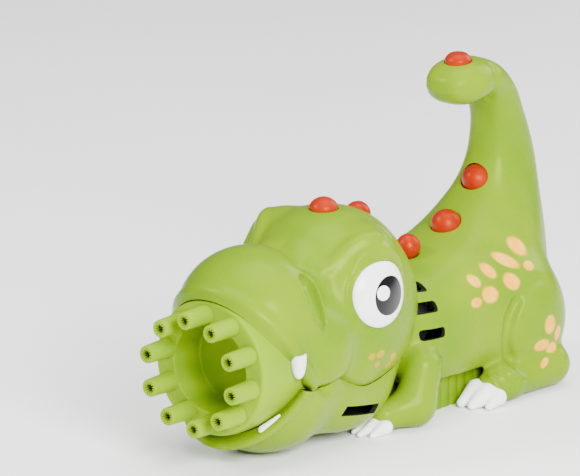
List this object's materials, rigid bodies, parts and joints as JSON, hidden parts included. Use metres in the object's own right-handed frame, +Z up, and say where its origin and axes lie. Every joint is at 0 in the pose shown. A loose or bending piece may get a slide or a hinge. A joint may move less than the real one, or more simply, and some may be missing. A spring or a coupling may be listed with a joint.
{
  "type": "bubble machine",
  "caption": "Toy dinosaur that blows bubbles from ten nozzles in its mouth, held by its raised tail, with a thumb button on the tail tip.",
  "frame": {"origin": "centre of the bounding box at floor level, where the toy stands", "axes": "-Y the way the dinosaur looks and blows, +X its left, +Z up"},
  "size_m": [0.1048, 0.2891, 0.1886],
  "materials": {
    "shell_green": "glossy moulded yellow-green plastic with printed peach spots",
    "pan_green": "glossy moulded green plastic",
    "nozzle_green": "glossy moulded green plastic, a little deeper than the casing",
    "stud_orange": "glossy orange-red plastic",
    "eye_print": "glossy white plastic with a printed black pupil",
    "white_plastic": "smooth white plastic",
    "black_plastic": "satin black plastic",
    "grey_plastic": "satin grey plastic",
    "steel": "zinc-plated steel",
    "battery_wrap": "battery with a plain dark wrap",
    "wire_black": "black insulated wire",
    "wire_red": "red insulated wire"
  },
  "bodies": {
    "casing": {"air_duct": "black_plastic", "back_stud_front": "stud_orange", "back_stud_middle": "stud_orange", "back_stud_rear": "stud_orange", "battery_1": "battery_wrap", "battery_2": "battery_wrap", "battery_3": "battery_wrap", "belly_pan": "pan_green", "blower_housing": "black_plastic", "body_screw_1": "steel", "body_screw_2": "steel", "body_screw_3": "steel", "body_shell_left": "shell_green", "body_shell_right": "shell_green", "button_spring": "steel", "contact_plate_front": "steel", "contact_plate_rear": "steel", "contact_spring_1": "steel", "contact_spring_2": "steel", "contact_spring_3": "steel", "eye_left": "eye_print", "eye_right": "eye_print", "front_claws_left": "white_plastic", "front_claws_right": "white_plastic", "head_screw_1": "steel", "head_screw_2": "steel", "head_shell_left": "shell_green", "head_shell_right": "shell_green", "head_stud_front": "stud_orange", "head_stud_rear": "stud_orange", "hind_claws_left": "white_plastic", "hind_claws_right": "white_plastic", "lead_battery_to_motor": "wire_red", "lead_battery_to_switch": "wire_black", "lead_switch_to_motor": "wire_black", "lower_jaw": "shell_green", "motor": "steel", "motor_bracket": "grey_plastic", "nozzle_head": "nozzle_green", "switch_bracket": "grey_plastic", "tail_switch": "black_plastic", "tooth_lower_left": "white_plastic", "tooth_lower_right": "white_plastic", "tooth_upper_left": "white_plastic", "tooth_upper_right": "white_plastic"},
    "fan": {"impeller": "grey_plastic", "motor_shaft": "steel"},
    "button": {"tail_button": "stud_orange"},
    "door": {"battery_door": "pan_green", "battery_door_screw": "steel"}
  },
  "joints": [
    {"name": "impeller_spin", "type": "hinge", "parent": "casing", "child": "fan", "pos_m": [0, 0.0265, 0.0495], "axis": [0, 1, 0], "continuous": true},
    {"name": "button_press", "type": "slide", "parent": "casing", "child": "button", "axis": [0, 0, -1], "range_m": [0, 0.002], "stiffness_N_per_m": 600, "springref_m": -0.001, "deforming": ["button_spring"]},
    {"name": "battery_door_hinge", "type": "hinge", "parent": "casing", "child": "door", "pos_m": [0, 0.021, 0.0015], "axis": [1, 0, 0], "range_deg": [-75, 0]}
  ]
}
